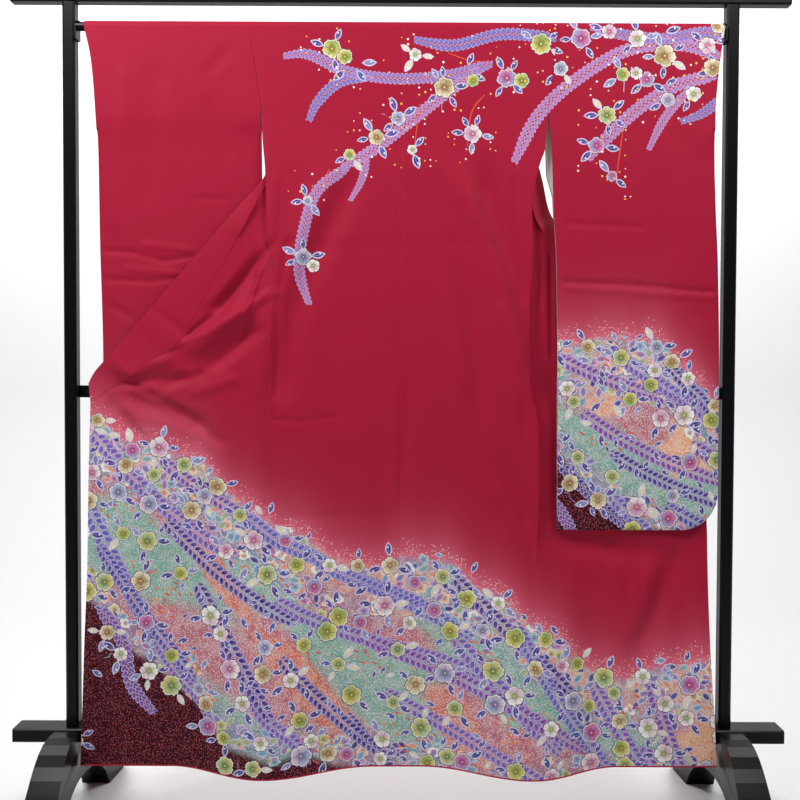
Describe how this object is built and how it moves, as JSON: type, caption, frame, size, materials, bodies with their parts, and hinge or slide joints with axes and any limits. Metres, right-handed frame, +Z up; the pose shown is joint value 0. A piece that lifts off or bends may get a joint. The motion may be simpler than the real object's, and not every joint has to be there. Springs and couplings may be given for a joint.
{
  "type": "furisode on a kimono stand",
  "caption": "Long-sleeved formal silk kimono hung by its shoulders on the rod of a lacquered floor stand, back outward, with the front panels spread behind it.",
  "frame": {"origin": "centre of the stand's footprint, on the floor", "axes": "+Z up, -Y towards the viewer of the garment's outside back, +X to that viewer's right"},
  "size_m": [1.657, 0.544, 1.7813],
  "materials": {
    "silk": "matte, faint sheen",
    "lacquer": "gloss black lacquer"
  },
  "bodies": {
    "root": {"back_left": "silk", "back_right": "silk", "front_left": "silk", "front_right": "silk", "overlap_left": "silk", "overlap_right": "silk", "collar": "silk", "sleeve_left": "silk", "sleeve_right": "silk", "post_left": "lacquer", "post_right": "lacquer", "foot_left": "lacquer", "foot_right": "lacquer", "rod_hook_left": "lacquer", "rod_hook_right": "lacquer", "base_bar": "lacquer", "top_rail": "lacquer", "mid_rail": "lacquer", "hanging_rod": "lacquer"}
  },
  "joints": []
}
